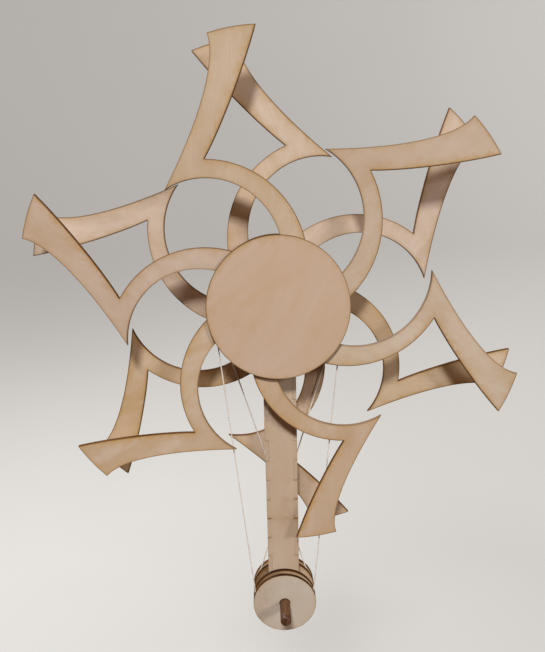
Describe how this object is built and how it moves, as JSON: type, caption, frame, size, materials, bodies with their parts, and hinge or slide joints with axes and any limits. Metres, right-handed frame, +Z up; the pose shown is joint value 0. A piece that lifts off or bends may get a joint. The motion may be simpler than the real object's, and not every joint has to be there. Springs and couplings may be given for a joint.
{
  "type": "kinetic spinner",
  "caption": "Hand-driven plywood spinner: two mirror-image rotors with curved arms turn in opposite directions, driven by a small pulley through open and crossed string loops.",
  "frame": {"origin": "centre of the flat back face of the mounting plate, on the axis of the two rotors", "axes": "+Z up along the post, -Y out of the front, along the rotor axis towards the viewer, +X to the viewer's right"},
  "size_m": [0.3444, 0.072, 0.4328],
  "materials": {
    "birch_ply": "laser-cut birch plywood, dark cut edges, unfinished",
    "pale_ply": "pale birch plywood, unfinished",
    "post_ply": "pale birch plywood, sanded, unfinished",
    "walnut_dowel": "dark stained hardwood dowel, satin",
    "beech_dowel": "turned hardwood, satin",
    "fibre_washer": "brown fibre, matt",
    "cream_string": "twisted cotton string"
  },
  "bodies": {
    "frame": {"mount_plate": "birch_ply", "mount_boss": "beech_dowel", "main_axle": "beech_dowel", "post_front_plate": "post_ply", "post_back_plate": "post_ply", "post_left_strip": "post_ply", "post_right_strip": "post_ply", "front_retaining_cap": "pale_ply", "front_spacer_washer": "fibre_washer", "rear_spacer_washer": "fibre_washer", "mount_spacer_washer": "fibre_washer", "drive_front_washer": "fibre_washer", "drive_rear_washer": "fibre_washer", "front_belt": "cream_string", "rear_belt": "cream_string"},
    "front_rotor": {"hub_cover_disc": "birch_ply", "front_arm_1": "birch_ply", "front_arm_2": "birch_ply", "front_arm_3": "birch_ply", "front_arm_4": "birch_ply", "front_arm_5": "birch_ply", "front_arm_6": "birch_ply", "front_pulley_drum": "birch_ply", "front_pulley_flange": "birch_ply"},
    "rear_rotor": {"rear_hub_disc": "birch_ply", "rear_arm_1": "birch_ply", "rear_arm_2": "birch_ply", "rear_arm_3": "birch_ply", "rear_arm_4": "birch_ply", "rear_arm_5": "birch_ply", "rear_arm_6": "birch_ply", "rear_pulley_drum": "birch_ply", "rear_pulley_flange": "birch_ply"},
    "drive_pulley": {"drive_axle": "walnut_dowel", "drive_front_disc": "pale_ply", "drive_front_drum": "birch_ply", "drive_front_flange": "birch_ply", "drive_rear_flange": "birch_ply", "drive_rear_drum": "birch_ply", "drive_rear_disc": "birch_ply"}
  },
  "joints": [
    {"name": "front_rotor_spin", "type": "hinge", "parent": "frame", "child": "front_rotor", "pos_m": [0, -0.0477, 0], "axis": [0, 1, 0], "continuous": true},
    {"name": "rear_rotor_spin", "type": "hinge", "parent": "frame", "child": "rear_rotor", "pos_m": [0, -0.024, 0], "axis": [0, 1, 0], "continuous": true},
    {"name": "drive_spin", "type": "hinge", "parent": "frame", "child": "drive_pulley", "pos_m": [0, -0.03585, -0.2322], "axis": [0, 1, 0], "continuous": true}
  ],
  "couplings": [
    {"joint": "rear_rotor_spin", "follows": "front_rotor_spin", "ratio": -1},
    {"joint": "drive_spin", "follows": "front_rotor_spin", "ratio": 2.0636}
  ]
}
